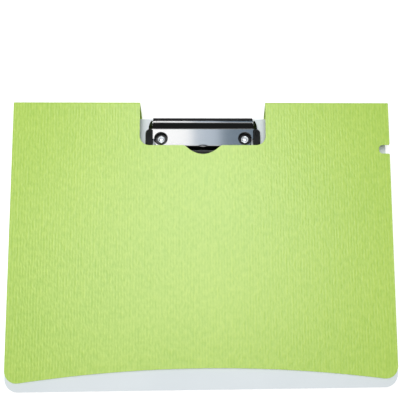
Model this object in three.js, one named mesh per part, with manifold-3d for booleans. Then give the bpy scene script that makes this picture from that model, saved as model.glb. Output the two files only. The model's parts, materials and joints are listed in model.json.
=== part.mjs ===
// Double clipboard: a landscape A4 board under a creased plastic cover, with a low spring clip
// at its top edge. Millimetres, +Z up, +Y towards the fold, Z = 0 at the underside.
import * as THREE from 'three';
import { mergeVertices } from 'three/addons/utils/BufferGeometryUtils.js';
import Module from 'manifold-3d';

const wasm = await Module();
wasm.setup();

// Gap that pieces which don't touch face to face keep from each other
const clearance = 0.3;

// Board
const boardWidth = 317;
const boardDepth = 226.5;
const boardThickness = 1.5;
const boardTopRadius = 3;
const boardBottomRadius = 11;

// Cover sheet: flap under the board, spine strips and front panel
const sheetThickness = 1.0;
const creaseSetback = 1.3;
const flapDepth = 56;
const flapCornerRadius = 8;
const backCreaseReach = 1.2;
const spineWidth = 19.5;
const spineTilt = THREE.MathUtils.degToRad(63);
const panelLength = 231.5;
const panelCornerRadius = 10;
const panelArcRise = 11.5;

// Window in the cover for the clip, with a thumb dip in its lower edge
const windowWidth = 106;
const windowDepth = 37;
const windowRadius = 8;
const windowUnderBoard = 2.5;
const dipWidth = 31;
const dipDepth = 7.6;
const dipShoulder = 5;

// Slot in the panel's right edge
const slotFromFold = 40;
const slotHeight = 6.2;
const slotLength = 10;

// Clip: base plate, rivets and pivot. Distances run forward from the board's rear edge.
const steelThickness = 0.8;
const baseRear = 0.8;
const baseFront = 23.5;
const baseLip = 1.2;
const earThickness = 0.8;
const earRadius = 2.5;
const rivetInset = 6.6;
const rivetFromRear = 18.7;
const rivetRadius = 2;
const rivetBore = 1.35;
const rivetRimRadius = 3.2;
const rivetRimHeight = 1.0;
const rivetHeadRadius = 4;
const rivetHeadThickness = 0.45;
const pivotFromRear = 4.6;
const pivotHeight = 3.6;
const rodRadius = 1.5;
const rodHeadRadius = 2.3;
const rodHeadThickness = 0.8;

// Clip lever, bent from one sheet
const leverThickness = 0.8;
const hoodRear = 0.9;
const hoodBottom = 2.2;
const hoodCrest = 7.4;
const hoodCrestEnd = 5.6;
const hoodRadius = 2.9;
const hoodHalfWidth = 42.55;
const plateRear = 10.0;
const plateHeight = 4.4;
const plateFront = 25.3;
const plateInset = 0.65;
const plateTaper = 2.0;
const lipTaper = 3.4;
const jawFront = 28.2;
const jawHeight = 0.75;
const lipFront = 31.0;
const lipHeight = 2.5;
const bendRadius = 1.2;
const plateBend = 2.0;
const cheekRadius = 2.45;
const fingerGap = 1.7;
const fingerWidth = 3.2;
const hornRear = 2.2;
const hornRoot = 7.3;
const fingerFront = 25.6;
const splitRear = 18.8;
const accessRadius = 5.0;
const accessBend = 1.1;
const accessRimDepth = 1.8;
const accessSeat = 0.2;
const embossHalfLength = 4.2;
const embossHalfWidth = 1.3;
const embossHeight = 0.7;

// Rubber grips over the lever's side fingers
const gripInnerWall = 0.7;
const gripOuterWall = 2.3;
const gripGap = 0.4;
const gripFront = 26.8;
const gripThickness = 3.0;
const gripOuterRadius = 3.2;
const gripInnerRadius = 1.0;
const gripRounding = 0.7;
const dimpleFromRear = 14.8;
const dimpleHalfWidth = 1.3;
const dimpleHalfLength = 2.4;
const dimpleDepth = 0.5;

// Pair of torsion springs on the rod
const wireRadius = 0.4;
const springTurns = 6;
const springPitch = 1.1;
const springFromMiddle = 16;
const springFootLength = 9;

// Places worked out from the sizes above
const boardBottom = sheetThickness;
const boardTop = boardBottom + boardThickness;
const beadRadius = sheetThickness / 2;
const backAxis = new THREE.Vector2(backCreaseReach, beadRadius);
const frontAxis = new THREE.Vector2(
  backAxis.x + spineWidth * Math.cos(spineTilt),
  backAxis.y + spineWidth * Math.sin(spineTilt),
);
const panelDrop = frontAxis.y - (boardTop + clearance + beadRadius);
const panelSlope = Math.asin(panelDrop / panelLength);
const boardRear = (boardDepth - frontAxis.x - beadRadius) / 2;
const baseTop = boardTop + steelThickness;
const pivotY = -pivotFromRear;
const pivotZ = boardTop + pivotHeight;
const rodHole = rodRadius + clearance;
const rivetHole = rivetRadius + clearance;
const cheekOuter = hoodHalfWidth;
const plateHalfWidth = hoodHalfWidth - plateInset;
const fingerInner = plateHalfWidth + fingerGap;
const fingerHalfWidth = fingerInner + fingerWidth;
const earOuter = cheekOuter - leverThickness - clearance;
const earInner = earOuter - earThickness;
const rodNeck = cheekOuter + clearance;
const rodEnd = rodNeck + rodHeadThickness;
const gripRear = plateRear + gripGap;

// Materials, one for each kind of stuff
const stuff = {
  cover: { color: '#bbd969', roughness: 0.35, metalness: 0 },
  board: { color: '#dde5e7', roughness: 0.45, metalness: 0 },
  enamel: { color: '#14191b', roughness: 0.25, metalness: 0.6 },
  gloss: { color: '#1b2023', roughness: 0.12, metalness: 0.8 },
  steel: { color: '#c9ced2', roughness: 0.2, metalness: 1 },
  rubber: { color: '#151819', roughness: 0.7, metalness: 0 },
};

// Points along an arc about a centre
function arc(centre, radius, from, to, steps) {
  const points = [];
  for (let i = 0; i <= steps; i += 1) {
    const a = from + ((to - from) * i) / steps;
    points.push([centre[0] + radius * Math.cos(a), centre[1] + radius * Math.sin(a)]);
  }
  return points;
}

// Arc from one point to another that bulges to the left of their line by a rise
function bulge(from, to, rise, steps) {
  const points = [];
  for (let i = 0; i <= steps; i += 1) {
    const t = i / steps;
    const lift = 4 * rise * t * (1 - t);
    const length = Math.hypot(to[0] - from[0], to[1] - from[1]);
    const nx = -(to[1] - from[1]) / length;
    const ny = (to[0] - from[0]) / length;
    const x = from[0] + (to[0] - from[0]) * t + nx * lift;
    const y = from[1] + (to[1] - from[1]) * t + ny * lift;
    points.push([x, y]);
  }
  return points;
}

// Rounds each corner [x, y, radius] of a path that is open or closed
function rounded(corners, closed = true) {
  const points = [];
  const count = corners.length;
  corners.forEach(([x, y, radius], i) => {
    const end = !closed && (i === 0 || i === count - 1);
    if (!radius || end) {
      points.push([x, y]);
      return;
    }
    const at = new THREE.Vector2(x, y);
    const before = new THREE.Vector2(...corners[(i + count - 1) % count]).sub(at);
    const after = new THREE.Vector2(...corners[(i + 1) % count]).sub(at);
    const half = Math.acos(before.dot(after) / (before.length() * after.length())) / 2;
    const reach = radius / Math.tan(half);
    const bisector = before.clone().normalize().add(after.clone().normalize()).normalize();
    const centre = at.clone().add(bisector.multiplyScalar(radius / Math.sin(half)));
    const start = before.clone().normalize().multiplyScalar(reach).add(at).sub(centre);
    const stop = after.clone().normalize().multiplyScalar(reach).add(at).sub(centre);
    const turn = Math.atan2(start.x * stop.y - start.y * stop.x, start.dot(stop));
    const steps = Math.max(3, Math.ceil((Math.abs(turn) / Math.PI) * 16));
    const first = Math.atan2(start.y, start.x);
    points.push(...arc([centre.x, centre.y], radius, first, first + turn, steps));
  });
  return points;
}

// Closed outline of a thin sheet that follows a path, half its thickness to each side
function sheetOutline(path, thickness) {
  const left = [];
  const right = [];
  path.forEach(([x, y], i) => {
    const [ax, ay] = path[Math.max(i - 1, 0)];
    const [bx, by] = path[Math.min(i + 1, path.length - 1)];
    const length = Math.hypot(bx - ax, by - ay);
    const nx = (-(by - ay) / length) * (thickness / 2);
    const ny = ((bx - ax) / length) * (thickness / 2);
    left.push([x + nx, y + ny]);
    right.push([x - nx, y - ny]);
  });
  return [...left, ...right.reverse()];
}

function shapeOf(points) {
  return new THREE.Shape(points.map(([x, y]) => new THREE.Vector2(x, y)));
}

// Outline in plan, raised from one height to another
function slab(points, low, high) {
  const geometry = new THREE.ExtrudeGeometry(shapeOf(points), { depth: high - low, bevelEnabled: false });
  return geometry.translate(0, 0, low);
}

// Section in Y and Z, run along X from one place to another
function alongX(points, from, to) {
  const geometry = new THREE.ExtrudeGeometry(shapeOf(points), { depth: to - from, bevelEnabled: false });
  const turn = new THREE.Matrix4().makeBasis(
    new THREE.Vector3(0, 1, 0),
    new THREE.Vector3(0, 0, 1),
    new THREE.Vector3(1, 0, 0),
  );
  return geometry.applyMatrix4(turn).translate(from, 0, 0);
}

function cylinder(x, y, radius, low, high, sides = 28) {
  const geometry = new THREE.CylinderGeometry(radius, radius, high - low, sides);
  return geometry.rotateX(Math.PI / 2).translate(x, y, (low + high) / 2);
}

function solidOf(geometry) {
  const bare = geometry.clone();
  bare.deleteAttribute('normal');
  bare.deleteAttribute('uv');
  const merged = mergeVertices(bare, 1e-5);
  return new wasm.Manifold(
    new wasm.Mesh({
      numProp: 3,
      vertProperties: new Float32Array(merged.attributes.position.array),
      triVerts: new Uint32Array(merged.index.array),
    }),
  );
}

function geometryOf(solid) {
  const mesh = solid.getMesh();
  const geometry = new THREE.BufferGeometry();
  geometry.setAttribute('position', new THREE.BufferAttribute(mesh.vertProperties, 3));
  geometry.setIndex(new THREE.BufferAttribute(mesh.triVerts, 1));
  geometry.computeVertexNormals();
  return geometry;
}

function cut(body, ...tools) {
  return geometryOf(tools.reduce((solid, tool) => solid.subtract(solidOf(tool)), solidOf(body)));
}

function join(...bodies) {
  const [first, ...rest] = bodies;
  return geometryOf(rest.reduce((solid, body) => solid.add(solidOf(body)), solidOf(first)));
}

function common(a, b) {
  return geometryOf(solidOf(a).intersect(solidOf(b)));
}

function piece(name, geometry, kind) {
  const mesh = new THREE.Mesh(geometry, new THREE.MeshStandardMaterial(stuff[kind]));
  mesh.name = name;
  return mesh;
}

// Hole for the rod through ears and cheeks
function rodBore() {
  const half = cheekOuter + clearance / 2;
  return alongX(arc([pivotY, pivotZ], rodHole, 0, Math.PI * 2, 24).slice(1), -half, half);
}

const rivetPlaces = [-1, 1].map((side) => [side * (hoodHalfWidth - rivetInset), -rivetFromRear]);

function makeBoard() {
  const half = boardWidth / 2;
  const outline = rounded([
    [-half, 0, boardTopRadius],
    [-half, -boardDepth, boardBottomRadius],
    [half, -boardDepth, boardBottomRadius],
    [half, 0, boardTopRadius],
  ]);
  const holes = rivetPlaces.map(([x, y]) => cylinder(x, y, rivetHole, boardBottom - 1, boardTop + 1));
  return cut(slab(outline, boardBottom, boardTop), ...holes);
}

// Flap under the board, cut back behind the window, with flush seats for the rivet heads
function makeFlap() {
  const half = boardWidth / 2;
  const rear = backAxis.x - creaseSetback;
  const windowHalf = windowWidth / 2;
  const outline = rounded([
    [-half, rear, 0],
    [-half, -flapDepth, flapCornerRadius],
    [half, -flapDepth, flapCornerRadius],
    [half, rear, 0],
    [windowHalf, rear, 0],
    [windowHalf, -windowUnderBoard, 0],
    [-windowHalf, -windowUnderBoard, 0],
    [-windowHalf, rear, 0],
  ]);
  const seatTop = rivetHeadThickness + clearance / 2;
  const holes = rivetPlaces.flatMap(([x, y]) => [
    cylinder(x, y, rivetHole, -1, sheetThickness + 1),
    cylinder(x, y, rivetHeadRadius + clearance, -1, seatTop),
  ]);
  return cut(slab(outline, 0, sheetThickness), ...holes);
}

// Strip between the two creases, with a bead along each crease line
function makeSpine(from, to) {
  const section = [
    ...arc([0, 0], beadRadius, Math.PI / 2, (Math.PI * 3) / 2, 8),
    ...arc([spineWidth, 0], beadRadius, -Math.PI / 2, Math.PI / 2, 8),
  ];
  return alongX(section, from, to);
}

// Front panel in its own frame: the fold at y = 0, running to -y
function makePanel() {
  const half = boardWidth / 2;
  const windowHalf = windowWidth / 2;
  const dipHalf = dipWidth / 2;
  const slotRadius = slotHeight / 2;
  const slotTop = -slotFromFold + slotRadius;
  const slotBottom = -slotFromFold - slotRadius;
  const slotEnd = half - slotLength + slotRadius;
  const slotArc = arc([slotEnd, -slotFromFold], slotRadius, Math.PI * 1.5, Math.PI / 2, 14);
  const dip = bulge([dipHalf, -windowDepth], [-dipHalf, -windowDepth], dipDepth, 14).slice(2, -2);
  const lowEdge = bulge([-half, -panelLength], [half, -panelLength], panelArcRise, 26).slice(1, -1);
  const outline = rounded([
    [-half, -creaseSetback, 0],
    [-half, -panelLength, panelCornerRadius],
    ...lowEdge,
    [half, -panelLength, panelCornerRadius],
    [half, slotBottom, 1],
    ...slotArc,
    [half, slotTop, 1],
    [half, -creaseSetback, 0],
    [windowHalf, -creaseSetback, 0],
    [windowHalf, -windowDepth, windowRadius],
    [dipHalf, -windowDepth, dipShoulder],
    ...dip,
    [-dipHalf, -windowDepth, dipShoulder],
    [-windowHalf, -windowDepth, windowRadius],
    [-windowHalf, -creaseSetback, 0],
  ]);
  return slab(outline, -beadRadius, beadRadius);
}

// Base plate on the board: turned up at its front edge, with an ear at each end for the rod
function makeBase() {
  const lipBend = 1;
  const path = rounded(
    [
      [-baseRear, boardTop + steelThickness / 2, 0],
      [-baseFront, boardTop + steelThickness / 2, lipBend],
      [-baseFront, boardTop + steelThickness + baseLip, 0],
    ],
    false,
  );
  const plate = alongX(sheetOutline(path, steelThickness), -earOuter, earOuter);
  const footRear = pivotY + earRadius;
  const footFront = pivotY - earRadius;
  const ear = [
    [footRear, boardTop],
    ...arc([pivotY, pivotZ], earRadius, 0, Math.PI, 16),
    [footFront, boardTop],
  ];
  const ears = [-1, 1].map((side) =>
    side > 0 ? alongX(ear, earInner, earOuter) : alongX(ear, -earOuter, -earInner),
  );
  const body = join(plate, ...ears);
  const holes = rivetPlaces.map(([x, y]) => cylinder(x, y, rivetHole, boardTop - 1, baseTop + 1));
  return cut(body, ...holes, rodBore());
}

// Tubular rivet: flush head below, hollow shank, rolled rim on the base plate
function makeRivet() {
  const low = clearance / 6;
  const rimBottom = baseTop;
  const rimTop = baseTop + rivetRimHeight;
  const rimRound = rivetRimHeight / 2;
  const rim = arc([rivetRimRadius - rimRound, rimTop - rimRound], rimRound, -Math.PI / 2, Math.PI / 2, 8);
  const mouth = arc([rivetBore + rimRound, rimTop - rimRound], rimRound, Math.PI / 2, Math.PI, 6);
  const profile = [
    [0, low],
    [rivetHeadRadius, low],
    [rivetHeadRadius, low + rivetHeadThickness],
    [rivetRadius, low + rivetHeadThickness],
    [rivetRadius, rimBottom],
    ...rim,
    ...mouth,
    [rivetBore, low + rivetHeadThickness],
    [0, low + rivetHeadThickness],
  ];
  const geometry = new THREE.LatheGeometry(profile.map(([x, y]) => new THREE.Vector2(x, y)), 32);
  return geometry.rotateX(Math.PI / 2);
}

// Section of the lever: hood over the rod, step down to the flat plate, jaw and lip
function leverSection() {
  const path = rounded(
    [
      [-hoodRear, boardTop + hoodBottom, 0],
      [-hoodRear, boardTop + hoodCrest, hoodRadius],
      [-hoodCrestEnd, boardTop + hoodCrest, bendRadius],
      [-plateRear, boardTop + plateHeight, plateBend],
      [-plateFront, boardTop + plateHeight, bendRadius],
      [-jawFront, boardTop + jawHeight, bendRadius / 2],
      [-lipFront, boardTop + lipHeight, 0],
    ],
    false,
  );
  return sheetOutline(path, leverThickness);
}

// The lever's middle in plan: hood, flat plate and tapering jaw
function leverPlan() {
  const right = rounded(
    [
      [hoodHalfWidth, 1, 0],
      [hoodHalfWidth, -plateRear - bendRadius, 0],
      [plateHalfWidth, -plateRear - bendRadius, 0],
      [plateHalfWidth, -splitRear, 0],
      [plateHalfWidth - plateTaper, -plateFront, 0],
      [plateHalfWidth - lipTaper, -lipFront - 2, 0],
    ],
    false,
  );
  const left = right.map(([x, y]) => [-x, y]).reverse();
  return [...left, ...right];
}

// One side of the lever in plan: a horn round the rod's end, the flat shoulder and the finger
function makeWing(side) {
  const hornInner = rodEnd + clearance;
  const hornWide = fingerHalfWidth - hoodHalfWidth;
  const hornLong = plateRear - hornRear;
  const tip = Math.acos((hornInner - hoodHalfWidth) / hornWide);
  const horn = arc([0, 0], 1, tip, 0, 12).map(([c, r]) => [hoodHalfWidth + hornWide * c, -plateRear + hornLong * r]);
  const right = rounded([
    [hornInner, -hornRoot, 0.4],
    ...horn,
    [fingerHalfWidth, -fingerFront, 1.2],
    [fingerInner, -fingerFront, 0.8],
    [fingerInner, -splitRear, 0.3],
    [plateHalfWidth - 1, -splitRear, 0],
    [plateHalfWidth - 1, -plateRear, 0],
    [hoodHalfWidth - leverThickness / 2, -plateRear + bendRadius, 0],
    [hoodHalfWidth - leverThickness / 2, -hornRoot, 0],
  ]);
  const plan = side > 0 ? right : right.map(([x, y]) => [-x, y]);
  return slab(plan, boardTop + plateHeight - leverThickness / 2, boardTop + plateHeight + leverThickness / 2);
}

// Flange rolled down round an access hole
function makeAccessRim(x, y) {
  const top = boardTop + plateHeight + leverThickness / 2;
  const outer = accessRadius + accessBend;
  const inside = accessBend - leverThickness;
  const profile = [
    ...arc([outer, top - accessBend], accessBend, Math.PI / 2, Math.PI, 6),
    [accessRadius, top - accessRimDepth],
    [accessRadius + leverThickness, top - accessRimDepth],
    ...arc([outer, top - accessBend], inside, Math.PI, Math.PI / 2, 3),
    [outer, top],
  ];
  const geometry = new THREE.LatheGeometry(profile.map(([r, z]) => new THREE.Vector2(r, z)), 36);
  return geometry.rotateX(Math.PI / 2).translate(x, y, 0);
}

function makeLever() {
  const sheet = alongX(leverSection(), -fingerHalfWidth - 1, fingerHalfWidth + 1);
  const shell = common(sheet, slab(leverPlan(), 0, boardTop + hoodCrest + 5));
  const wings = [-1, 1].map(makeWing);
  const cheekDrop =
    ((hoodCrest - plateHeight) * (pivotFromRear + cheekRadius - hoodCrestEnd)) / (plateRear - hoodCrestEnd);
  const cheek = [
    ...arc([pivotY, pivotZ], cheekRadius, Math.PI, Math.PI * 2, 14),
    [pivotY + cheekRadius, boardTop + hoodCrest - 0.5],
    [-hoodCrestEnd, boardTop + hoodCrest],
    [pivotY - cheekRadius, boardTop + hoodCrest - cheekDrop],
  ];
  const cheeks = [
    alongX(cheek, -cheekOuter, -cheekOuter + leverThickness),
    alongX(cheek, cheekOuter - leverThickness, cheekOuter),
  ];
  const rims = rivetPlaces.map(([x, y]) => makeAccessRim(x, y));
  const emboss = new THREE.SphereGeometry(1, 20, 8)
    .scale(embossHalfLength, embossHalfWidth, embossHeight)
    .translate(0, -plateFront, boardTop + plateHeight + leverThickness / 4);
  const windows = rivetPlaces.map(([x, y]) =>
    cylinder(x, y, accessRadius + accessBend - accessSeat, boardTop + 3, boardTop + hoodCrest, 36),
  );
  return join(cut(join(shell, ...wings, ...cheeks, emboss), ...windows, rodBore()), ...rims);
}

// Rod through ears and cheeks, peened over at both ends
function makeRod() {
  const profile = [
    [0, -rodEnd],
    [rodHeadRadius - 0.4, -rodEnd],
    [rodHeadRadius, -rodEnd + 0.4],
    [rodHeadRadius, -rodNeck],
    [rodRadius, -rodNeck],
    [rodRadius, rodNeck],
    [rodHeadRadius, rodNeck],
    [rodHeadRadius, rodEnd - 0.4],
    [rodHeadRadius - 0.4, rodEnd],
    [0, rodEnd],
  ];
  const geometry = new THREE.LatheGeometry(profile.map(([x, y]) => new THREE.Vector2(x, y)), 28);
  return geometry.rotateZ(-Math.PI / 2).translate(0, pivotY, pivotZ);
}

// Coil on the rod with one leg under the hood's crest and one foot on the base plate
class SpringPath extends THREE.Curve {
  constructor(x, side) {
    super();
    this.x = x;
    this.side = side;
    this.radius = rodRadius + clearance + wireRadius;
    this.footZ = baseTop + clearance + wireRadius;
    this.legTop = boardTop + hoodCrest - leverThickness / 2 - clearance * 2 - wireRadius;
    this.legLength = this.legTop - pivotZ;
    this.coilLength = this.radius * Math.PI * 2 * (springTurns + 0.25);
    this.total = springFootLength + this.coilLength + this.legLength;
  }

  getPoint(t, target = new THREE.Vector3()) {
    const along = t * this.total;
    const turnsDone = THREE.MathUtils.clamp((along - springFootLength) / this.coilLength, 0, 1);
    const x = this.x + this.side * turnsDone * springPitch * (springTurns + 0.25);
    if (along < springFootLength) {
      const y = pivotY - (springFootLength - along);
      return target.set(x, y, pivotZ - this.radius);
    }
    if (along > springFootLength + this.coilLength) {
      const rest = along - springFootLength - this.coilLength;
      return target.set(x, pivotY + this.radius, pivotZ + rest);
    }
    const angle = -Math.PI / 2 + turnsDone * Math.PI * 2 * (springTurns + 0.25);
    return target.set(x, pivotY + this.radius * Math.cos(angle), pivotZ + this.radius * Math.sin(angle));
  }
}

function makeSpring(x, side) {
  const path = new SpringPath(x, side);
  const section = shapeOf(arc([0, 0], wireRadius, 0, Math.PI * 2, 8).slice(1));
  const steps = Math.round(springTurns * 14 + 14);
  return new THREE.ExtrudeGeometry(section, { steps, extrudePath: path });
}

// Soft sleeve over the lever's outer edge, slit along its inner side, with a thumb dimple
function makeGrip(side) {
  const outer = fingerHalfWidth + gripOuterWall;
  const inner = fingerInner - gripInnerWall;
  const low = boardTop + plateHeight - gripThickness / 2;
  const inset = gripRounding;
  const plan = rounded([
    [inner + inset, -gripRear - inset, gripInnerRadius],
    [outer - inset, -gripRear - inset, gripOuterRadius],
    [outer - inset, -gripFront + inset, gripInnerRadius * 1.5],
    [inner + inset, -gripFront + inset, gripInnerRadius],
  ]);
  const block = new THREE.ExtrudeGeometry(shapeOf(plan), {
    depth: gripThickness - 2 * gripRounding,
    bevelThickness: gripRounding,
    bevelSize: gripRounding,
    bevelSegments: 2,
  }).translate(0, 0, low + gripRounding);
  const slitHalf = leverThickness / 2 + clearance;
  const slit = slab(
    [
      [inner - 1, -gripRear + 1],
      [inner - 1, -fingerFront - clearance],
      [fingerHalfWidth + clearance, -fingerFront - clearance],
      [fingerHalfWidth + clearance, -gripRear + 1],
    ],
    boardTop + plateHeight - slitHalf,
    boardTop + plateHeight + slitHalf,
  );
  const dimple = new THREE.SphereGeometry(1, 18, 8)
    .scale(dimpleHalfWidth, dimpleHalfLength, dimpleDepth)
    .translate((inner + outer) / 2, -dimpleFromRear, boardTop + plateHeight + gripThickness / 2);
  const geometry = cut(block, slit, dimple);
  if (side > 0) {
    return geometry;
  }
  const mirrored = geometry.clone().scale(-1, 1, 1);
  const index = mirrored.index.array;
  for (let i = 0; i < index.length; i += 3) {
    const swap = index[i];
    index[i] = index[i + 1];
    index[i + 1] = swap;
  }
  mirrored.computeVertexNormals();
  return mirrored;
}

// The cover's spine and panel hang on the creases as nested groups
const windowHalfWidth = windowWidth / 2;
const panelGroup = new THREE.Group();
panelGroup.position.set(0, spineWidth, 0);
panelGroup.rotation.x = panelSlope - spineTilt;
panelGroup.add(piece('cover_front_panel', makePanel(), 'cover'));

const spineGroup = new THREE.Group();
spineGroup.position.set(0, backAxis.x, backAxis.y);
spineGroup.rotation.x = spineTilt;
spineGroup.add(
  piece('cover_spine_left', makeSpine(-boardWidth / 2, -windowHalfWidth), 'cover'),
  piece('cover_spine_right', makeSpine(windowHalfWidth, boardWidth / 2), 'cover'),
  panelGroup,
);

const clipboard = new THREE.Group();
clipboard.position.y = boardRear;
clipboard.add(
  piece('board', makeBoard(), 'board'),
  piece('cover_back_flap', makeFlap(), 'cover'),
  spineGroup,
  piece('clip_base_plate', makeBase(), 'enamel'),
  piece('clip_lever', makeLever(), 'gloss'),
  piece('pivot_rod', makeRod(), 'steel'),
  piece('torsion_spring_left', makeSpring(-springFromMiddle, -1), 'steel'),
  piece('torsion_spring_right', makeSpring(springFromMiddle, 1), 'steel'),
  piece('grip_left', makeGrip(-1), 'rubber'),
  piece('grip_right', makeGrip(1), 'rubber'),
);
rivetPlaces.forEach(([x, y], i) => {
  const rivet = piece(i ? 'rivet_right' : 'rivet_left', makeRivet(), 'steel');
  rivet.position.set(x, y, 0);
  clipboard.add(rivet);
});

const object = new THREE.Group();
object.add(clipboard);

export default object;
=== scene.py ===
# Double clipboard: back board, creased plastic cover and a low spring clip, in metres, +Z up.
import json
import math

import bpy
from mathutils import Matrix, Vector


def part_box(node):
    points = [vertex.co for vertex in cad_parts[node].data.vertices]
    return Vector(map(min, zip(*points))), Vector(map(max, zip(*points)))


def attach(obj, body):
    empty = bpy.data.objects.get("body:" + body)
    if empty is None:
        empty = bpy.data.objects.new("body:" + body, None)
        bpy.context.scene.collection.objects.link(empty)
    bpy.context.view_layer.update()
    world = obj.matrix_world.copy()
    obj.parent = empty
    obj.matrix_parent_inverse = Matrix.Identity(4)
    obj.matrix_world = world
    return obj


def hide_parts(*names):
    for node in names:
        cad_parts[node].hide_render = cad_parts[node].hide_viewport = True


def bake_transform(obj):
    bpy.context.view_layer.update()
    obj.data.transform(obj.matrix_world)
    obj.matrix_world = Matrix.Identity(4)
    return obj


mm = 0.001
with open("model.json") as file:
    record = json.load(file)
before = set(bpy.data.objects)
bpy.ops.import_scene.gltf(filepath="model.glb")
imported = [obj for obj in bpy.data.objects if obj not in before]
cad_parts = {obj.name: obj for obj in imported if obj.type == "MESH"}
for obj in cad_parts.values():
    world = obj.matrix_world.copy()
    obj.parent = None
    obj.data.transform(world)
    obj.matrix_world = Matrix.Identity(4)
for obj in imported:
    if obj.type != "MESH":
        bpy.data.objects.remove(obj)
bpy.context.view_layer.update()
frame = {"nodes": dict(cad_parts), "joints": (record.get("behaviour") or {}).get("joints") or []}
joints = {joint["name"]: Vector(joint["pos_m"]) for joint in frame["joints"]}
print("frame loaded:", len(frame["nodes"]), "nodes")


# small helpers for selecting, copying and finishing

# how near points count as one or as lying on a plane, the most degrees between coplanar faces,
# and how squarely a face has to look along a direction to count as facing it
tolerance = {"weld": 1e-6, "skinWeld": 5e-6, "sliver": 0.06 * mm, "cut": 1e-7, "onPlane": 1e-6,
             "onSeam": 1e-5, "coplanar": 0.4, "facing": 0.99}


def deselectAll():
    bpy.ops.object.select_all(action="DESELECT")


def makeActive(piece):
    if bpy.context.mode != "OBJECT":
        objectMode()
    deselectAll()
    piece.select_set(True)
    bpy.context.view_layer.objects.active = piece


def editMode(piece, kind="FACE"):
    makeActive(piece)
    bpy.ops.object.mode_set(mode="EDIT")
    bpy.ops.mesh.select_mode(type=kind)
    bpy.ops.mesh.select_all(action="DESELECT")


def objectMode():
    bpy.ops.object.mode_set(mode="OBJECT")


def selectWhere(piece, kind, test):
    # selection is set on the mesh in object mode, so it steps out of edit mode and back
    editMode(piece, kind)
    objectMode()
    parts = {"FACE": piece.data.polygons, "EDGE": piece.data.edges, "VERT": piece.data.vertices}[kind]
    for part in parts:
        part.select = test(part)
    bpy.ops.object.mode_set(mode="EDIT")


def edgeEnds(piece, edge):
    return [piece.data.vertices[i].co for i in edge.vertices]


def applyModifier(piece, kind, **settings):
    makeActive(piece)
    modifier = piece.modifiers.new(kind.title(), kind)
    for key, value in settings.items():
        setattr(modifier, key, value)
    bpy.ops.object.modifier_apply(modifier=modifier.name)


def copyNode(node, name):
    # a merged copy of the frame's solid, without its loose triangles
    piece = bpy.data.objects.new(name, frame["nodes"][node].data.copy())
    bpy.context.scene.collection.objects.link(piece)
    piece.data.materials.clear()
    makeActive(piece)
    if piece.data.has_custom_normals:
        bpy.ops.mesh.customdata_custom_splitnormals_clear()
    editMode(piece, "VERT")
    bpy.ops.mesh.select_all(action="SELECT")
    bpy.ops.mesh.remove_doubles(threshold=tolerance["weld"])
    objectMode()
    return piece


def flatten(piece):
    # joins coplanar triangles into whole faces and drops the slivers that would stop a bevel
    editMode(piece)
    bpy.ops.mesh.select_all(action="SELECT")
    bpy.ops.mesh.dissolve_limited(angle_limit=math.radians(tolerance["coplanar"]))
    bpy.ops.mesh.remove_doubles(threshold=tolerance["sliver"])
    bpy.ops.mesh.normals_make_consistent(inside=False)
    objectMode()


def smooth(piece, degrees):
    # shades round what is flatter than the angle; weighting by area keeps the flat faces flat
    makeActive(piece)
    bpy.ops.object.shade_smooth_by_angle(angle=math.radians(degrees))
    applyModifier(piece, "WEIGHTED_NORMAL", mode="FACE_AREA", weight=100, keep_sharp=True)


def finishPiece(piece, body, node, material):
    # node is a list, because a piece may stand for several of the frame's nodes
    piece.data.materials.clear()
    piece.data.materials.append(material)
    if body:
        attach(piece, body)
    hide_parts(*node)


# colours and nodes

# a Mix node has sockets of the same names for each kind of data, so those for colours go by number
colourMix = {"factor": 0, "first": 6, "second": 7, "result": 2}


def linear(hexColour):
    channels = [int(hexColour[i:i + 2], 16) / 255 for i in (1, 3, 5)]
    return [c / 12.92 if c < 0.04045 else ((c + 0.055) / 1.055) ** 2.4 for c in channels] + [1.0]


def addNode(tree, kind, inputs=None, **settings):
    node = tree.nodes.new(kind)
    for key, value in settings.items():
        setattr(node, key, value)
    for socket, value in (inputs or {}).items():
        if isinstance(value, bpy.types.NodeSocket):
            tree.links.new(value, node.inputs[socket])
        else:
            node.inputs[socket].default_value = value
    return node


def newMaterial(name):
    material = bpy.data.materials.new(name)
    material.use_nodes = True
    tree = material.node_tree
    shader = tree.nodes["Principled BSDF"]
    place = addNode(tree, "ShaderNodeTexCoord").outputs["Object"]
    return material, tree, shader, place


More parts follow.
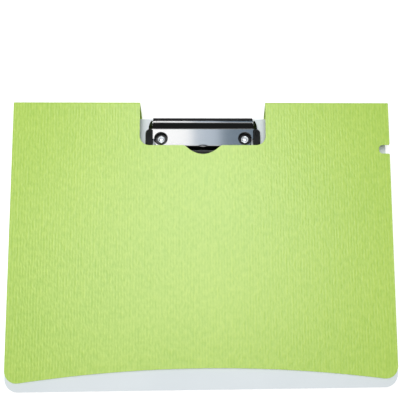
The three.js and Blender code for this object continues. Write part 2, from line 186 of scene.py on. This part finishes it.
# extruded polypropylene sheet, embossed by a ribbed roller: broken ribs run from the fold to the open edge,
# drawn as coarse as they need to be to show, and their glossy tops break up the lamps' shine
def makeCoverMaterial():
    look = {"pale": "#BCDA60", "deep": "#A0C84A", "paleAt": 0.97, "deepAt": 0.58,
            "pitch": 2.35 * mm, "wander": 16.7 * mm, "sway": 0.9 * mm,  # the ribs
            "dash": 1.9 * mm, "dashSqueeze": 0.45, "ribShare": 0.07,  # the breaks in them
            # ribPaintedShine sets how much painted highlight and shade the ribs' height puts into the colour
            "bump": 0.8, "relief": 0.22 * mm, "ribPaintedShine": 0.6,
            "cloud": 111 * mm, "driftLow": 0.4, "driftHigh": 0.6,  # the slow drift in colour
            "roughness": 0.34, "ior": 1.49}
    material, tree, shader, place = newMaterial("ribbedPolypropylene")

    # ribs side by side along X that wander a little
    wander = addNode(tree, "ShaderNodeTexNoise",
                     {"Vector": place, "Scale": 1 / look["wander"], "Detail": 2.0})
    split = addNode(tree, "ShaderNodeSeparateXYZ", {"Vector": place})
    sway = addNode(tree, "ShaderNodeMath", {0: wander.outputs["Fac"], 1: look["sway"]}, operation="MULTIPLY")
    across = addNode(tree, "ShaderNodeMath", {0: split.outputs["X"], 1: sway.outputs[0]}, operation="ADD")
    phase = addNode(tree, "ShaderNodeMath", {0: across.outputs[0], 1: 2 * math.pi / look["pitch"]},
                    operation="MULTIPLY")
    rib = addNode(tree, "ShaderNodeMath", {0: phase.outputs[0]}, operation="SINE")

    # what breaks them is stretched along Y
    stretched = addNode(tree, "ShaderNodeMapping",
                        {"Vector": place, "Scale": (1.0, look["dashSqueeze"], 1.0)})
    dash = addNode(tree, "ShaderNodeTexNoise",
                   {"Vector": stretched.outputs[0], "Scale": 1 / look["dash"], "Detail": 3.0})
    height = addNode(tree, "ShaderNodeMath",
                     {0: rib.outputs[0], 1: look["ribShare"], 2: dash.outputs["Fac"]},
                     operation="MULTIPLY_ADD")
    bump = addNode(tree, "ShaderNodeBump",
                   {"Height": height.outputs[0], "Strength": look["bump"], "Distance": look["relief"]})

    # the colour is paler on the ribs' high spots, a painted highlight, and deeper in their hollows, painted
    # shade, with a slow random drift over the sheet
    cloud = addNode(tree, "ShaderNodeTexNoise", {"Vector": place, "Scale": 1 / look["cloud"], "Detail": 3.0})
    drift = addNode(tree, "ShaderNodeMapRange",
                    {"Value": cloud.outputs["Fac"], "To Min": look["driftLow"], "To Max": look["driftHigh"]})
    driftAndPaintedRibShine = addNode(tree, "ShaderNodeMath",
                     {0: height.outputs[0], 1: look["ribPaintedShine"], 2: drift.outputs[0]},
                     operation="MULTIPLY_ADD")
    tint = addNode(tree, "ShaderNodeValToRGB", {"Fac": driftAndPaintedRibShine.outputs[0]})
    deepEnd, paleEnd = tint.color_ramp.elements
    deepEnd.position = look["deepAt"]
    deepEnd.color = linear(look["deep"])
    paleEnd.position = look["paleAt"]
    paleEnd.color = linear(look["pale"])

    tree.links.new(tint.outputs[0], shader.inputs["Base Color"])
    tree.links.new(bump.outputs[0], shader.inputs["Normal"])
    shader.inputs["Roughness"].default_value = look["roughness"]
    shader.inputs["IOR"].default_value = look["ior"]
    return material


# pale moulded plastic board: a dull, slightly cool white with a fine leathery grain
def makeBoardMaterial():
    look = {"pale": "#E6ECEE", "deep": "#D3DBDF", "cloud": 83.3 * mm, "grain": 0.8 * mm,
            "bump": 0.35, "relief": 0.08 * mm, "roughness": 0.5}
    material, tree, shader, place = newMaterial("grainedBoard")
    grain = addNode(tree, "ShaderNodeTexNoise", {"Vector": place, "Scale": 1 / look["grain"], "Detail": 4.0})
    bump = addNode(tree, "ShaderNodeBump",
                   {"Height": grain.outputs["Fac"], "Strength": look["bump"], "Distance": look["relief"]})
    cloud = addNode(tree, "ShaderNodeTexNoise", {"Vector": place, "Scale": 1 / look["cloud"], "Detail": 3.0})
    tint = addNode(tree, "ShaderNodeMix",
                   {colourMix["factor"]: cloud.outputs["Fac"], colourMix["first"]: linear(look["deep"]),
                    colourMix["second"]: linear(look["pale"])}, data_type="RGBA")
    tree.links.new(tint.outputs[colourMix["result"]], shader.inputs["Base Color"])
    tree.links.new(bump.outputs[0], shader.inputs["Normal"])
    shader.inputs["Roughness"].default_value = look["roughness"]
    return material


# stoved enamel over sheet steel: near-black with a faint orange peel and an uneven polish
def makeEnamelMaterial(look):
    pattern = {"peel": 3.85 * mm, "relief": 0.1 * mm, "polish": 1.43 * mm,
               "roughLow": 0.9, "roughHigh": 1.15, "coatShare": 0.6}
    material, tree, shader, place = newMaterial(look["name"])
    ripple = addNode(tree, "ShaderNodeTexNoise",
                     {"Vector": place, "Scale": 1 / pattern["peel"], "Detail": 2.0})
    bump = addNode(tree, "ShaderNodeBump",
                   {"Height": ripple.outputs["Fac"], "Strength": look["peel"],
                    "Distance": pattern["relief"]})
    wear = addNode(tree, "ShaderNodeTexNoise",
                   {"Vector": place, "Scale": 1 / pattern["polish"], "Detail": 5.0})
    polish = addNode(tree, "ShaderNodeMapRange",
                     {"Value": wear.outputs["Fac"], "To Min": look["roughness"] * pattern["roughLow"],
                      "To Max": look["roughness"] * pattern["roughHigh"]})
    tree.links.new(polish.outputs[0], shader.inputs["Roughness"])
    tree.links.new(bump.outputs[0], shader.inputs["Normal"])
    shader.inputs["Base Color"].default_value = linear(look["colour"])
    shader.inputs["IOR"].default_value = look["ior"]
    shader.inputs["Specular IOR Level"].default_value = look["specular"]
    shader.inputs["Coat Weight"].default_value = look["coat"]
    shader.inputs["Coat Roughness"].default_value = look["roughness"] * pattern["coatShare"]
    return material


# nickel-plated steel: bright and nearly neutral, its shine broken by fine marks, drawn coarse enough to show
def makeNickelMaterial():
    look = {"colour": "#C2C5C7", "marks": 0.25 * mm, "bump": 0.15, "relief": 0.02 * mm,
            "roughness": 0.28, "roughLow": 0.6, "roughHigh": 1.8}
    material, tree, shader, place = newMaterial("nickelPlate")
    marks = addNode(tree, "ShaderNodeTexNoise", {"Vector": place, "Scale": 1 / look["marks"], "Detail": 3.0})
    polish = addNode(tree, "ShaderNodeMapRange",
                     {"Value": marks.outputs["Fac"], "To Min": look["roughness"] * look["roughLow"],
                      "To Max": look["roughness"] * look["roughHigh"]})
    bump = addNode(tree, "ShaderNodeBump",
                   {"Height": marks.outputs["Fac"], "Strength": look["bump"], "Distance": look["relief"]})
    tree.links.new(polish.outputs[0], shader.inputs["Roughness"])
    tree.links.new(bump.outputs[0], shader.inputs["Normal"])
    shader.inputs["Base Color"].default_value = linear(look["colour"])
    shader.inputs["Metallic"].default_value = 1.0
    return material


# drawn spring wire: grey steel with a dull oiled shine, its fine streaks drawn coarse enough to show
def makeWireMaterial():
    look = {"pale": "#A6A8A6", "deep": "#6F726F", "streak": 1.11 * mm, "roughness": 0.34}
    material, tree, shader, place = newMaterial("drawnSpringWire")
    streak = addNode(tree, "ShaderNodeTexNoise",
                     {"Vector": place, "Scale": 1 / look["streak"], "Detail": 3.0})
    tint = addNode(tree, "ShaderNodeMix",
                   {colourMix["factor"]: streak.outputs["Fac"], colourMix["first"]: linear(look["deep"]),
                    colourMix["second"]: linear(look["pale"])}, data_type="RGBA")
    tree.links.new(tint.outputs[colourMix["result"]], shader.inputs["Base Color"])
    shader.inputs["Metallic"].default_value = 1.0
    shader.inputs["Roughness"].default_value = look["roughness"]
    return material


# moulded rubber: matt black with a faint bloom, its spark-eroded grain drawn coarse enough to show
def makeRubberMaterial():
    look = {"pale": "#15191A", "deep": "#080A0B", "grain": 0.35 * mm, "bump": 0.4, "relief": 0.05 * mm,
            "roughness": 0.62, "specular": 0.2}
    material, tree, shader, place = newMaterial("mouldedRubber")
    grain = addNode(tree, "ShaderNodeTexNoise", {"Vector": place, "Scale": 1 / look["grain"], "Detail": 3.0})
    bump = addNode(tree, "ShaderNodeBump",
                   {"Height": grain.outputs["Fac"], "Strength": look["bump"], "Distance": look["relief"]})
    tint = addNode(tree, "ShaderNodeMix",
                   {colourMix["factor"]: grain.outputs["Fac"], colourMix["first"]: linear(look["deep"]),
                    colourMix["second"]: linear(look["pale"])}, data_type="RGBA")
    tree.links.new(tint.outputs[colourMix["result"]], shader.inputs["Base Color"])
    tree.links.new(bump.outputs[0], shader.inputs["Normal"])
    shader.inputs["Roughness"].default_value = look["roughness"]
    shader.inputs["Specular IOR Level"].default_value = look["specular"]
    return material


# the lever has a glossy top coat, the base plate under it is satin and has none
glossLook = {"name": "blackGlossEnamel", "colour": "#050607", "roughness": 0.15, "peel": 0.01,
             "coat": 1.0, "specular": 0.1, "ior": 1.55}
satinLook = {"name": "blackSatinEnamel", "colour": "#0A0C0D", "roughness": 0.24, "peel": 0.05,
             "coat": 0.0, "specular": 0.1, "ior": 1.55}

coverMaterial = makeCoverMaterial()
boardMaterial = makeBoardMaterial()
leverEnamel = makeEnamelMaterial(glossLook)
baseEnamel = makeEnamelMaterial(satinLook)
nickelPlate = makeNickelMaterial()
springWire = makeWireMaterial()
mouldedRubber = makeRubberMaterial()
print("materials made")


# cover: one sheet that bends at two creases, in two pieces that meet halfway up the spine
coverSheet = {"thickness": 1.0 * mm, "foldBend": 0.85 * mm, "backBend": 2.2 * mm, "bendSteps": 10,
              "edge": 0.14 * mm, "edgeSteps": 2, "sharpFrom": 50, "smoothTo": 30}
# the rivets' heads sit in round seats, sunk into the flap's underside
seat = {"radius": 4.3 * mm, "depth": 0.6 * mm, "sides": 40, "cutterHeight": 4 * mm}
# the side slot, and how far its points lie in from the right edge and to each side of its line
sideSlot = {"fromFold": 40 * mm, "drop": 1.25 * mm, "shift": 0.9 * mm,
            "inner": 12 * mm, "mouth": 2 * mm, "front": 5 * mm, "half": 6 * mm}

backAxis = joints["back_crease"]
foldAxis = joints["front_crease"]
spineUp = (foldAxis - backAxis).normalized()
spineWidth = (foldAxis - backAxis).length
flapAway = Vector((0, -1, 0))
flapUp = Vector((0, 0, 1))
panelLow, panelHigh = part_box("cover_front_panel")
panelFall = math.asin((panelHigh.z - panelLow.z - coverSheet["thickness"]) / (foldAxis.y - panelLow.y))
panelAway = Vector((0, -math.cos(panelFall), -math.sin(panelFall)))
panelUp = Vector((0, -math.sin(panelFall), math.cos(panelFall)))


def bentSheet(node, name, axis, away, up, onward, bend):
    # keeps the sheet's upper skin, trims it at the crease, spins it round the bend, runs it on to mid-spine
    sheet = copyNode(node, name)
    selectWhere(sheet, "FACE", lambda face: face.normal.dot(up) < tolerance["facing"])
    bpy.ops.mesh.delete(type="FACE")
    bpy.ops.mesh.select_all(action="SELECT")
    bpy.ops.mesh.remove_doubles(threshold=tolerance["skinWeld"])
    bpy.ops.mesh.dissolve_limited(angle_limit=math.radians(tolerance["coplanar"]))
    bpy.ops.mesh.select_all(action="SELECT")
    bpy.ops.transform.translate(value=up * (-coverSheet["thickness"] / 2))

    turn = math.pi - away.angle(onward)
    reach = bend * math.tan(turn / 2)
    bpy.ops.mesh.bisect(plane_co=axis + away * reach, plane_no=away, clear_inner=True,
                        threshold=tolerance["cut"])
    selectWhere(sheet, "EDGE", lambda edge: all(
        abs((end - axis).dot(away) - reach) < tolerance["onPlane"] for end in edgeEnds(sheet, edge)))

    side = -1 if onward.z < 0 else 1  # the panel bends down from the fold, the flap bends up
    centre = axis + away * reach + up * (side * bend)
    bpy.ops.mesh.spin(steps=coverSheet["bendSteps"], angle=turn, center=centre, axis=(-side, 0, 0))
    run = onward * (spineWidth / 2 - reach)
    bpy.ops.mesh.extrude_region_move(TRANSFORM_OT_translate={"value": run})
    objectMode()
    return sheet, reach


def thicken(sheet, axis, onward):
    applyModifier(sheet, "SOLIDIFY", thickness=coverSheet["thickness"], offset=0.0, use_even_offset=True)
    editMode(sheet)
    bpy.ops.mesh.select_all(action="SELECT")
    bpy.ops.mesh.normals_make_consistent(inside=False)
    bpy.ops.mesh.select_mode(type="EDGE")
    bpy.ops.mesh.select_all(action="DESELECT")
    bpy.ops.mesh.edges_select_sharp(sharpness=math.radians(coverSheet["sharpFrom"]))
    objectMode()
    # the joint at mid-spine stays square, so it doesn't show
    for edge in sheet.data.edges:
        if all(abs((end - axis).dot(onward) - spineWidth / 2) < tolerance["onSeam"]
               for end in edgeEnds(sheet, edge)):
            edge.select = False
    bpy.ops.object.mode_set(mode="EDIT")
    bpy.ops.mesh.bevel(offset=coverSheet["edge"], segments=coverSheet["edgeSteps"])
    objectMode()
    smooth(sheet, coverSheet["smoothTo"])


def makeFrontCover():
    sheet, reach = bentSheet("cover_front_panel", "coverFront", foldAxis, panelAway, panelUp,
                             -spineUp, coverSheet["foldBend"])
    # the punched slot opens a little further towards the front, and its inner end moves out a little
    slotLine = foldAxis.y - sideSlot["fromFold"]
    innerEnd = panelHigh.x - sideSlot["inner"]
    mouthStart = panelHigh.x - sideSlot["mouth"]
    selectWhere(sheet, "VERT", lambda point: point.co.x > innerEnd
                and slotLine - sideSlot["front"] < point.co.y < slotLine)
    bpy.ops.transform.translate(value=panelAway * sideSlot["drop"])
    selectWhere(sheet, "VERT", lambda point: innerEnd < point.co.x < mouthStart
                and abs(point.co.y - slotLine) < sideSlot["half"])
    bpy.ops.transform.translate(value=(sideSlot["shift"], 0, 0))
    objectMode()
    thicken(sheet, foldAxis, -spineUp)
    finishPiece(sheet, None, ["cover_front_panel"], coverMaterial)
    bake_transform(sheet)


def makeBackCover():
    sheet, reach = bentSheet("cover_back_flap", "coverBack", backAxis, flapAway, flapUp,
                             spineUp, coverSheet["backBend"])
    thicken(sheet, backAxis, spineUp)
    for node in ("rivet_left", "rivet_right"):
        low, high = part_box(node)
        middle = (low + high) / 2
        deselectAll()
        bpy.ops.mesh.primitive_cylinder_add(
            vertices=seat["sides"], radius=seat["radius"], depth=seat["cutterHeight"],
            location=(middle.x, middle.y, seat["depth"] - seat["cutterHeight"] / 2))
        cutter = bpy.context.object
        applyModifier(sheet, "BOOLEAN", object=cutter, operation="DIFFERENCE", solver="EXACT")
        bpy.data.objects.remove(cutter)
    smooth(sheet, coverSheet["smoothTo"])
    finishPiece(sheet, None, ["cover_back_flap", "cover_spine_left", "cover_spine_right"],
                coverMaterial)
    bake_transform(sheet)


makeFrontCover()
makeBackCover()
print("cover made")


# rigid pieces start as the frame's own shape, and edge is how far their edges are rounded
rigidPieces = [
    {"node": "board", "body": "back", "slot": "board",
     "edge": 0.25 * mm, "material": boardMaterial},
    {"node": "clip_base_plate", "body": "back", "slot": "base_plate",
     "edge": 0.12 * mm, "material": baseEnamel},
    {"node": "clip_lever", "body": "lever", "slot": "lever",
     "edge": 0, "material": leverEnamel},
    {"node": "pivot_rod", "body": "back", "slot": "bright_steel",
     "edge": 0.12 * mm, "material": nickelPlate},
    {"node": "grip_left", "body": "lever", "slot": "grip",
     "edge": 0.12 * mm, "material": mouldedRubber},
    {"node": "grip_right", "body": "lever", "slot": "grip",
     "edge": 0.12 * mm, "material": mouldedRubber},
    {"node": "torsion_spring_left", "body": "back", "slot": "spring_steel",
     "edge": 0, "material": springWire},
    {"node": "torsion_spring_right", "body": "back", "slot": "spring_steel",
     "edge": 0, "material": springWire},
]
rounding = {"steps": 2, "sharpFrom": 40, "smoothTo": 40}
# the horns start at edge along X and at rear along Y, and turn by fall degrees at the height level
horn = {"edge": 42.8 * mm, "rear": 97.95 * mm, "strip": 97.6 * mm, "level": 6.9 * mm, "fall": 20}


def tiltHorns(lever):
    # the horns beside the hood fall away from the flat plate, and a narrow strip takes up the turn
    cuts = [((0, horn["rear"], 0), (0, 1, 0)), ((0, horn["strip"], 0), (0, 1, 0)),
            ((horn["edge"], 0, 0), (1, 0, 0)), ((-horn["edge"], 0, 0), (1, 0, 0))]
    for place, across in cuts:
        editMode(lever)
        bpy.ops.mesh.select_all(action="SELECT")
        bpy.ops.mesh.bisect(plane_co=place, plane_no=across, threshold=tolerance["cut"])
    for side in (-1, 1):
        selectWhere(lever, "VERT", lambda point: point.co.x * side > horn["edge"] + tolerance["onPlane"]
                    and point.co.y > horn["rear"] - tolerance["onPlane"])
        bpy.ops.transform.rotate(value=math.radians(-side * horn["fall"]), orient_axis="Y",
                                 center_override=(side * horn["edge"], 0, horn["level"]))
    objectMode()


for part in rigidPieces:
    piece = copyNode(part["node"], part["node"].title().replace("_", ""))
    isLever = part["node"] == "clip_lever"
    if isLever or part["edge"]:
        flatten(piece)
    if isLever:
        tiltHorns(piece)
    if part["edge"]:
        applyModifier(piece, "BEVEL", width=part["edge"], segments=rounding["steps"], limit_method="ANGLE",
                      angle_limit=math.radians(rounding["sharpFrom"]), miter_outer="MITER_ARC")
    smooth(piece, rounding["smoothTo"])
    finishPiece(piece, part["body"], [part["node"]], part["material"])
print("rigid pieces made")


# rivets: a flat head in the cover's seat, a shank, a rolled rim and a domed core
# foot and rings are (radius, height) in millimetres, from the bottom up
rivet = {"sides": 48, "smoothTo": 50, "foot": (3.75, 0.05),
         "rings": [(4.0, 0.25), (4.0, 0.5), (2.0, 0.5), (2.0, 3.3), (3.05, 3.3), (3.2, 3.5), (3.2, 3.9),
                   (3.12, 4.08), (2.9, 4.24), (2.65, 4.3), (2.4, 4.26), (2.22, 4.12), (2.1, 3.85),
                   (1.95, 3.7), (1.78, 3.74), (1.68, 3.9), (1.45, 4.05), (1.0, 4.15), (0.5, 4.19)]}


def makeRivet():
    deselectAll()
    radius, height = rivet["foot"]
    bpy.ops.mesh.primitive_circle_add(vertices=rivet["sides"], radius=radius * mm, fill_type="NGON",
                                      location=(0, 0, height * mm))
    piece = bpy.context.object
    bpy.ops.object.transform_apply()
    bpy.ops.object.mode_set(mode="EDIT")
    bpy.ops.mesh.select_mode(type="FACE")
    bpy.ops.mesh.select_all(action="SELECT")
    for newRadius, newHeight in rivet["rings"]:
        rise = (newHeight - height) * mm
        grow = newRadius / radius
        bpy.ops.mesh.extrude_region_move(TRANSFORM_OT_translate={"value": (0, 0, rise)})
        bpy.ops.transform.resize(value=(grow, grow, 1), center_override=(0, 0, newHeight * mm))
        radius, height = newRadius, newHeight
    bpy.ops.mesh.select_all(action="SELECT")
    bpy.ops.mesh.normals_make_consistent(inside=False)
    objectMode()
    smooth(piece, rivet["smoothTo"])
    return piece


firstRivet = makeRivet()
for node, name in (("rivet_left", "RivetLeft"), ("rivet_right", "RivetRight")):
    low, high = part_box(node)
    piece = firstRivet.copy()
    piece.data = firstRivet.data.copy()
    piece.name = name
    bpy.context.scene.collection.objects.link(piece)
    piece.location = ((low.x + high.x) / 2, (low.y + high.y) / 2, 0)
    makeActive(piece)
    bpy.ops.object.transform_apply()
    finishPiece(piece, "back", [node], nickelPlate)
bpy.data.objects.remove(firstRivet)
print("rivets made")


# floor and world
studio = {"floor": 6.0, "floorDrop": 0.1 * mm, "floorColour": "#F4F4F4", "floorRoughness": 0.9,
          "floorGlow": 0.35, "overhead": 0.21, "horizon": 0.9, "horizonLow": 0.05, "horizonTop": 0.35}
white = (1, 1, 1, 1)


def makeFloor():
    # paper that glows a little for the camera and in reflections, but lights nothing else
    deselectAll()
    bpy.ops.mesh.primitive_plane_add(size=studio["floor"], location=(0, 0, -studio["floorDrop"]))
    floor = bpy.context.object
    floor.name = "floor"
    material = bpy.data.materials.new("paperSweep")
    material.use_nodes = True
    tree = material.node_tree
    shader = tree.nodes["Principled BSDF"]
    path = addNode(tree, "ShaderNodeLightPath")
    seen = addNode(tree, "ShaderNodeMath",
                   {0: path.outputs["Is Camera Ray"], 1: path.outputs["Is Glossy Ray"]}, operation="MAXIMUM")
    glow = addNode(tree, "ShaderNodeMath", {0: seen.outputs[0], 1: studio["floorGlow"]},
                   operation="MULTIPLY")
    tree.links.new(glow.outputs[0], shader.inputs["Emission Strength"])
    shader.inputs["Emission Color"].default_value = white
    shader.inputs["Base Color"].default_value = linear(studio["floorColour"])
    shader.inputs["Roughness"].default_value = studio["floorRoughness"]
    floor.data.materials.append(material)


def makeWorld():
    # a white sweep at the horizon under a dimmer ceiling, the same for every kind of ray
    world = bpy.data.worlds.new("studioWorld")
    bpy.context.scene.world = world
    world.use_nodes = True
    tree = world.node_tree
    ground = tree.nodes["Background"]
    ground.inputs["Color"].default_value = white
    direction = addNode(tree, "ShaderNodeTexCoord").outputs["Generated"]
    rise = addNode(tree, "ShaderNodeSeparateXYZ", {"Vector": direction}).outputs["Z"]
    level = addNode(tree, "ShaderNodeMapRange",
                    {"Value": rise, "From Min": studio["horizonLow"], "From Max": studio["horizonTop"],
                     "To Min": studio["horizon"], "To Max": studio["overhead"]},
                    interpolation_type="SMOOTHSTEP")
    tree.links.new(level.outputs[0], ground.inputs["Strength"])


# lamps: three side by side that the clip mirrors, a broad one over all, and one for the cover's sheen
lamps = [
    {"name": "clipSoftbox", "place": (-0.1125, 0.355, 0.9), "aim": (-0.1125, 0.3, 0),
     "size": (0.155, 0.11), "power": 1.12, "colour": "#FFFFFF"},
    {"name": "clipMiddleSoftbox", "place": (-0.0025, 0.355, 0.9), "aim": (-0.0025, 0.3, 0),
     "size": (0.065, 0.11), "power": 0.28, "colour": "#E2F0FF"},
    {"name": "clipFillSoftbox", "place": (0.1, 0.355, 0.9), "aim": (0.1, 0.3, 0),
     "size": (0.14, 0.11), "power": 0.25, "colour": "#CBE6FF"},
    {"name": "broadSoftbox", "place": (-0.09, -0.1, 1.5), "aim": (-0.09, -0.1, 0),
     "size": (0.95, 0.66), "power": 12.0, "colour": "#FFFFFF"},
    {"name": "sheenSoftbox", "place": (0.03, 0.17, 1.1), "aim": (0.03, 0.1, 0),
     "size": (0.26, 0.2), "power": 1.5, "colour": "#FFFFFF"},
]


def addLamp(name, place, aim, size, power, colour):
    light = bpy.data.lights.new(name, "AREA")
    light.shape = "RECTANGLE"
    light.size, light.size_y = size
    light.energy = power
    light.color = linear(colour)[:3]
    lamp = bpy.data.objects.new(name, light)
    bpy.context.scene.collection.objects.link(lamp)
    lamp.location = place
    lamp.rotation_euler = (Vector(aim) - Vector(place)).to_track_quat("-Z", "Y").to_euler()


makeFloor()
makeWorld()
for settings in lamps:
    addLamp(**settings)


# camera: above the front half of the cover, looking down almost square on
cameraView = {"place": (6.14 * mm, -63.25 * mm, 539.97 * mm), "turn": (10.952, -2.048, -0.574),
              "sensor": 36, "lens": 57.92, "shift": (-0.0855, -0.012)}
cameraData = bpy.data.cameras.new("camera")
cameraData.sensor_width = cameraView["sensor"]
cameraData.lens = cameraView["lens"]
cameraData.shift_x, cameraData.shift_y = cameraView["shift"]
camera = bpy.data.objects.new("camera", cameraData)
bpy.context.scene.collection.objects.link(camera)
camera.location = cameraView["place"]
camera.rotation_euler = [math.radians(angle) for angle in cameraView["turn"]]
bpy.context.scene.camera = camera
bpy.context.scene.view_settings.view_transform = "Standard"

bpy.context.view_layer.update()
print("scene ready")
